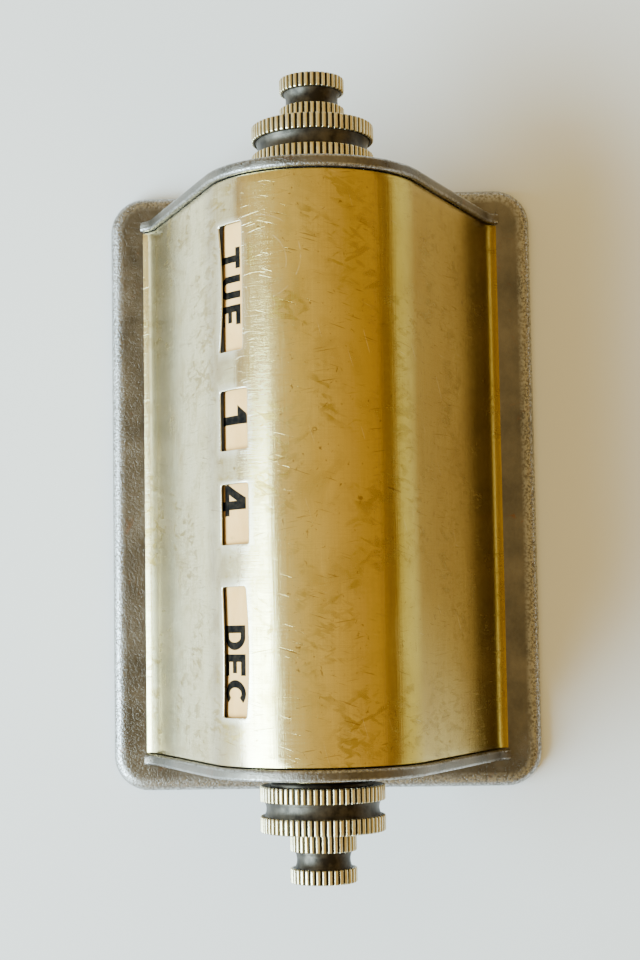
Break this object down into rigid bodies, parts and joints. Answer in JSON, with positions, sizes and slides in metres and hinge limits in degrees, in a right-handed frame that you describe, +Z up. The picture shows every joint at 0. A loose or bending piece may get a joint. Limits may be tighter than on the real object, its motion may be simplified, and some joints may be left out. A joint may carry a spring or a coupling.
{
  "type": "desk calendar",
  "caption": "Perpetual desk calendar: labelled drums under a domed brass cover with windows, turned by coaxial knurled knobs at both ends of a steel base.",
  "frame": {"origin": "middle of the underside, on the surface it stands on", "axes": "+X along the drum axis towards the month end, +Y to the back, +Z up; the windows face -Y"},
  "size_m": [0.105, 0.0604, 0.0391],
  "materials": {
    "aged_brass": "satin brushed brass with an aged patina",
    "tarnished_steel": "tarnished, pitted, with worn bright edges",
    "plain_steel": "plain satin steel",
    "spring_steel": "blued satin steel",
    "screw_steel": "dull steel",
    "bush_brass": "turned brass",
    "tinplate": "dull tinplate",
    "knob_metal": "worn nickel over brass, dark in the valleys",
    "label_paper": "aged matt paper",
    "felt": "pressed wool felt"
  },
  "bodies": {
    "case": {"base_pan": "tarnished_steel", "felt_pad": "felt", "base_screws": "screw_steel", "cover": "aged_brass", "centre_bracket": "plain_steel", "centre_bush": "bush_brass", "day_end_plate": "tarnished_steel", "day_end_bush": "bush_brass", "month_end_plate": "tarnished_steel", "month_end_bush": "bush_brass", "day_friction_washer": "spring_steel", "tens_friction_washer": "spring_steel", "ones_friction_washer": "spring_steel", "month_friction_washer": "spring_steel"},
    "day": {"day_drum": "tinplate", "day_hub_outer": "tinplate", "day_hub_inner": "tinplate", "day_label": "label_paper", "day_sleeve": "plain_steel", "day_knob": "knob_metal", "day_set_screw": "screw_steel"},
    "tens": {"tens_drum": "tinplate", "tens_hub_outer": "tinplate", "tens_hub_inner": "tinplate", "tens_label": "label_paper", "tens_shaft": "plain_steel", "tens_knob": "knob_metal", "tens_set_screw": "screw_steel"},
    "ones": {"ones_drum": "tinplate", "ones_hub_outer": "tinplate", "ones_hub_inner": "tinplate", "ones_label": "label_paper", "ones_shaft": "plain_steel", "ones_knob": "knob_metal", "ones_set_screw": "screw_steel"},
    "month": {"month_drum": "tinplate", "month_hub_outer": "tinplate", "month_hub_inner": "tinplate", "month_label": "label_paper", "month_sleeve": "plain_steel", "month_knob": "knob_metal", "month_set_screw": "screw_steel"}
  },
  "joints": [
    {"name": "day_turn", "type": "hinge", "parent": "case", "child": "day", "pos_m": [0, 0, 0.0241], "axis": [1, 0, 0], "continuous": true},
    {"name": "tens_turn", "type": "hinge", "parent": "case", "child": "tens", "pos_m": [0, 0, 0.0241], "axis": [1, 0, 0], "continuous": true},
    {"name": "ones_turn", "type": "hinge", "parent": "case", "child": "ones", "pos_m": [0, 0, 0.0241], "axis": [1, 0, 0], "continuous": true},
    {"name": "month_turn", "type": "hinge", "parent": "case", "child": "month", "pos_m": [0, 0, 0.0241], "axis": [1, 0, 0], "continuous": true}
  ]
}
